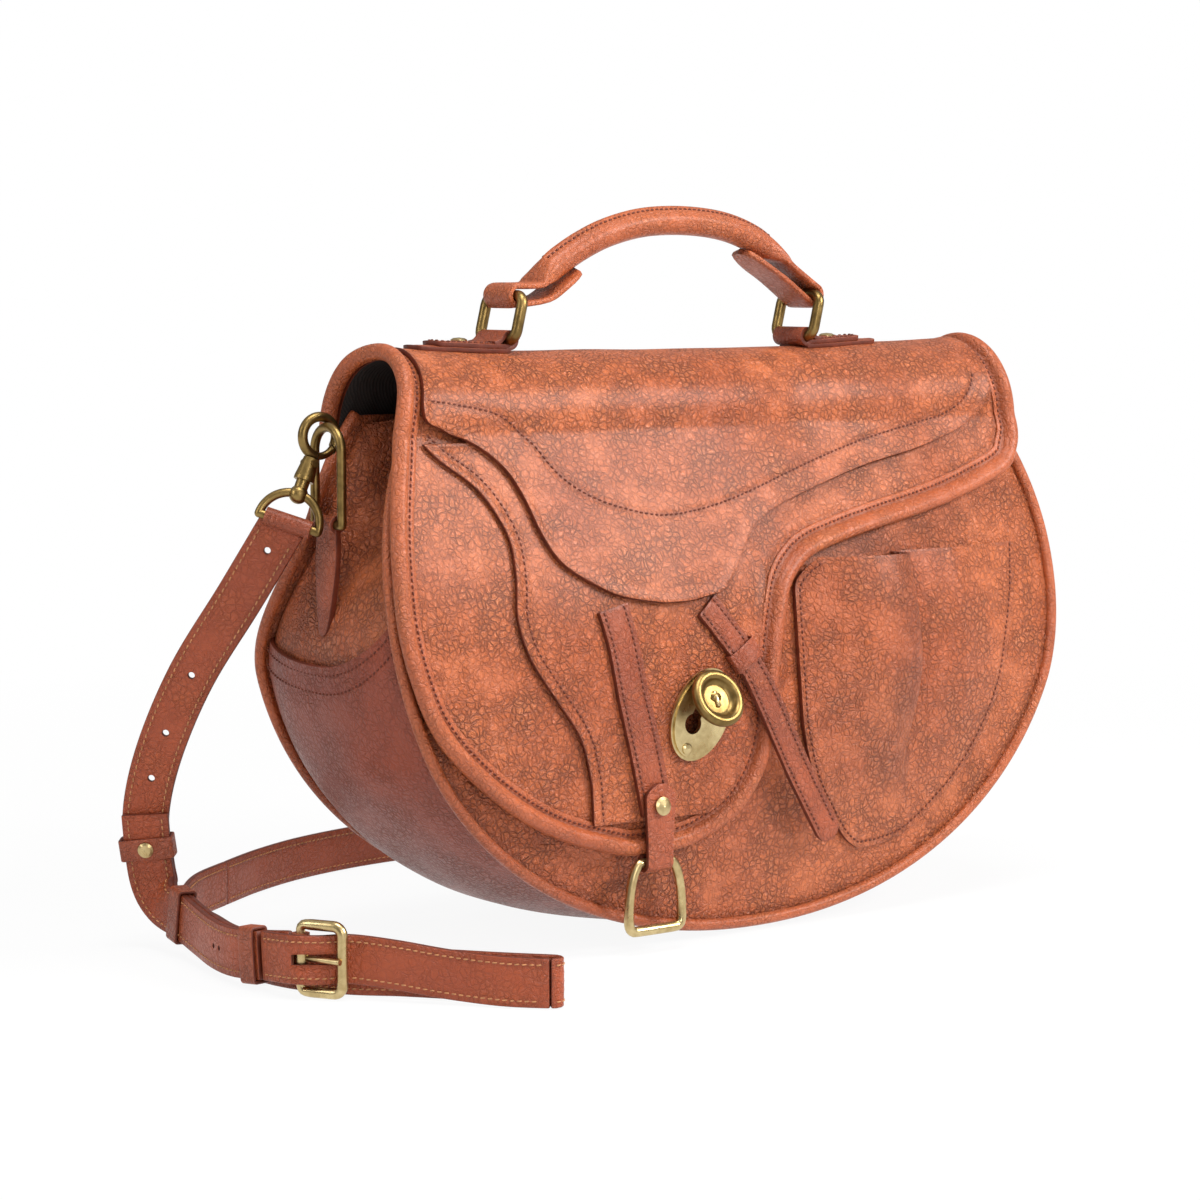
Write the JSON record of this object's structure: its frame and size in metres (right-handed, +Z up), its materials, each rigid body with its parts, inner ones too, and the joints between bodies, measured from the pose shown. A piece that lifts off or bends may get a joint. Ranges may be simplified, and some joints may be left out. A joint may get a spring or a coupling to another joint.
{
  "type": "saddle handbag",
  "caption": "Round fronted leather saddle bag with a shaped flap, slide lock, stirrup charm, rolled handle on rings, front pocket and a clip on buckled shoulder strap.",
  "frame": {"origin": "on the floor, under the middle of the bag body, midway between its side seams", "axes": "+X along the bag towards its right end as seen from the front, -Y out of the front, +Z up"},
  "size_m": [0.4263, 0.2855, 0.285],
  "materials": {
    "body_leather": "grained tan leather with a soft sheen",
    "smooth_leather": "smooth brown leather, slightly polished",
    "trim_leather": "rolled tan leather trim",
    "lining": "dark woven lining",
    "strap_leather": "tan strap leather with pale stitching",
    "pale_brass": "pale polished brass",
    "aged_brass": "aged satin brass"
  },
  "bodies": {
    "bag": {"front_panel": "body_leather", "back_panel": "body_leather", "upper_gusset_left": "body_leather", "upper_gusset_right": "body_leather", "pocket": "body_leather", "flap_back": "body_leather", "lower_gusset": "smooth_leather", "side_tab_left": "smooth_leather", "side_tab_right": "smooth_leather", "front_piping": "trim_leather", "back_piping": "trim_leather", "hinge_cord": "trim_leather", "front_lining": "lining", "back_lining": "lining", "end_sleeves": "strap_leather", "strap_left": "strap_leather", "strap_tail": "strap_leather", "strap_front": "strap_leather", "strap_inner": "strap_leather", "strap_rear": "strap_leather", "strap_right": "strap_leather", "strap_keeper_upper": "strap_leather", "strap_keeper_middle": "strap_leather", "strap_keeper_lower": "strap_leather", "strap_bar_loops": "strap_leather", "keeper_rivet": "pale_brass", "buckle_frame": "pale_brass", "lock_base": "aged_brass", "hook_body_left": "aged_brass", "hook_body_right": "aged_brass", "hook_swivel_left": "aged_brass", "hook_swivel_right": "aged_brass", "end_ring_left": "aged_brass", "end_ring_right": "aged_brass"},
    "flap": {"flap_shell": "body_leather", "flap_binding": "trim_leather", "flap_skirt": "body_leather", "saddle_seat": "body_leather", "stirrup_strap": "smooth_leather", "stirrup_loop": "smooth_leather", "stirrup_rivet": "pale_brass", "tie_strap": "smooth_leather", "tie_keeper": "smooth_leather", "lock_plate": "pale_brass", "plate_rivets": "pale_brass", "handle_tab_left": "smooth_leather", "handle_tab_right": "smooth_leather", "tab_rivets": "pale_brass"},
    "knob": {"lock_knob": "aged_brass"},
    "stirrup": {"stirrup": "pale_brass"},
    "ring_left": {"handle_ring_left": "aged_brass"},
    "ring_right": {"handle_ring_right": "aged_brass"},
    "handle": {"handle_grip": "smooth_leather", "handle_loop_left": "smooth_leather", "handle_loop_right": "smooth_leather"},
    "side_ring_left": {"side_ring_left": "aged_brass"},
    "side_ring_right": {"side_ring_right": "aged_brass"},
    "gate_left": {"hook_gate_left": "aged_brass"},
    "gate_right": {"hook_gate_right": "aged_brass"},
    "prong": {"buckle_prong": "pale_brass"}
  },
  "joints": [
    {"name": "flap_open", "type": "hinge", "parent": "bag", "child": "flap", "pos_m": [0, 0.0186, 0.199], "axis": [-1, 0, 0], "range_deg": [0, 120]},
    {"name": "knob_slide", "type": "slide", "parent": "flap", "child": "knob", "axis": [-0.5299, 0, -0.848], "range_m": [0, 0.008]},
    {"name": "stirrup_swing", "type": "hinge", "parent": "flap", "child": "stirrup", "pos_m": [-0.05916, -0.06519, 0.035], "axis": [-1, 0, 0], "range_deg": [0, 110]},
    {"name": "ring_left_tilt", "type": "hinge", "parent": "flap", "child": "ring_left", "pos_m": [-0.0925, -0.005, 0.23415], "axis": [0, 1, 0], "range_deg": [-20, 20]},
    {"name": "ring_right_tilt", "type": "hinge", "parent": "flap", "child": "ring_right", "pos_m": [0.059, -0.005, 0.23354], "axis": [0, 1, 0], "range_deg": [-20, 20]},
    {"name": "handle_pivot", "type": "hinge", "parent": "ring_left", "child": "handle", "pos_m": [-0.08827, -0.005, 0.25113], "axis": [0, 1, 0], "range_deg": [-20, 20]},
    {"name": "side_ring_left_tilt", "type": "hinge", "parent": "bag", "child": "side_ring_left", "pos_m": [-0.166, 0.002, 0.166], "axis": [0, 1, 0], "range_deg": [-1.5, 1.5]},
    {"name": "side_ring_right_tilt", "type": "hinge", "parent": "bag", "child": "side_ring_right", "pos_m": [0.166, 0.002, 0.166], "axis": [0, 1, 0], "range_deg": [-1.5, 1.5]},
    {"name": "gate_left_open", "type": "hinge", "parent": "bag", "child": "gate_left", "pos_m": [-0.16924, 0.006, 0.19175], "axis": [0, -1, 0], "range_deg": [0, 20], "stiffness_Nm_per_rad": 0.003, "springref_deg": -5.73},
    {"name": "gate_right_open", "type": "hinge", "parent": "bag", "child": "gate_right", "pos_m": [0.16924, 0.006, 0.19175], "axis": [0, 1, 0], "range_deg": [0, 20], "stiffness_Nm_per_rad": 0.003, "springref_deg": -5.73},
    {"name": "prong_lift", "type": "hinge", "parent": "bag", "child": "prong", "pos_m": [-0.20989, -0.04407, 0.0141], "axis": [0, 0, -1], "range_deg": [0, 30]}
  ],
  "couplings": [
    {"joint": "ring_right_tilt", "follows": "ring_left_tilt", "ratio": 1},
    {"joint": "handle_pivot", "follows": "ring_left_tilt", "ratio": -1}
  ]
}
